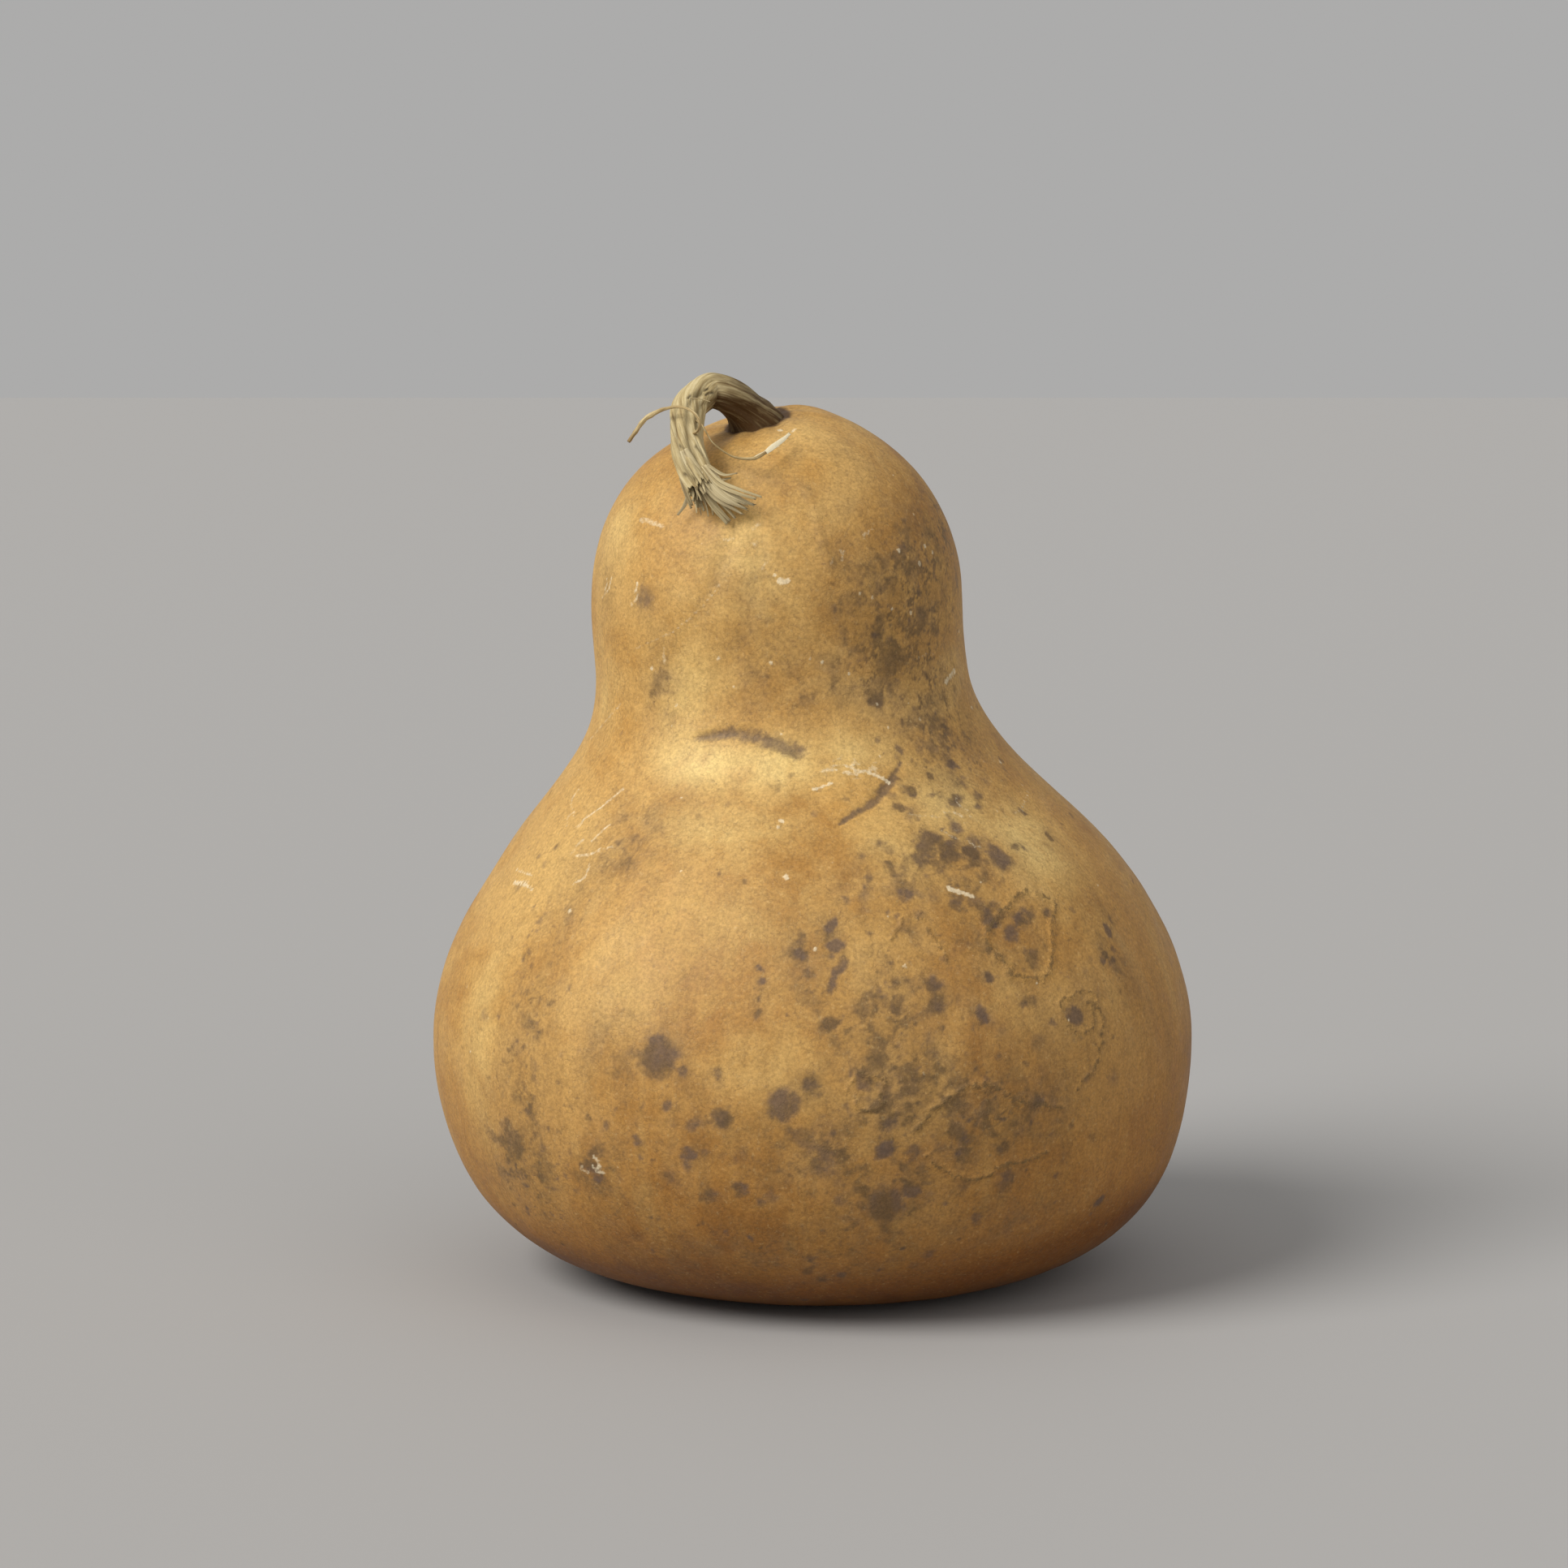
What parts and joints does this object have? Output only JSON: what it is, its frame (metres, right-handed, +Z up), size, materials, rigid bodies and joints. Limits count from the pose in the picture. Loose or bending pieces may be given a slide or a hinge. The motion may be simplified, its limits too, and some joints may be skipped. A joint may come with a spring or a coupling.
{
  "type": "dried bottle gourd",
  "caption": "Dried bottle gourd with a wide round bulb, a smaller domed head, a hooked dry stalk torn into splinters and two thin dry tendrils; stands on its flat foot.",
  "frame": {"origin": "on the ground under the middle of the bulb", "axes": "+Z up along the gourd's height, +X to the right as seen from the front, -Y towards the front, where the torn stalk hangs"},
  "size_m": [0.1878, 0.183, 0.2221],
  "materials": {
    "gourd_skin": "dry woody rind, ochre with dark mould stains, satin",
    "stalk": "dry fibrous straw-coloured stalk, matte",
    "tendril": "dry thread, matte"
  },
  "bodies": {
    "root": {"gourd_body": "gourd_skin", "stem": "stalk", "tendril_left": "tendril", "tendril_right": "tendril"}
  },
  "joints": []
}
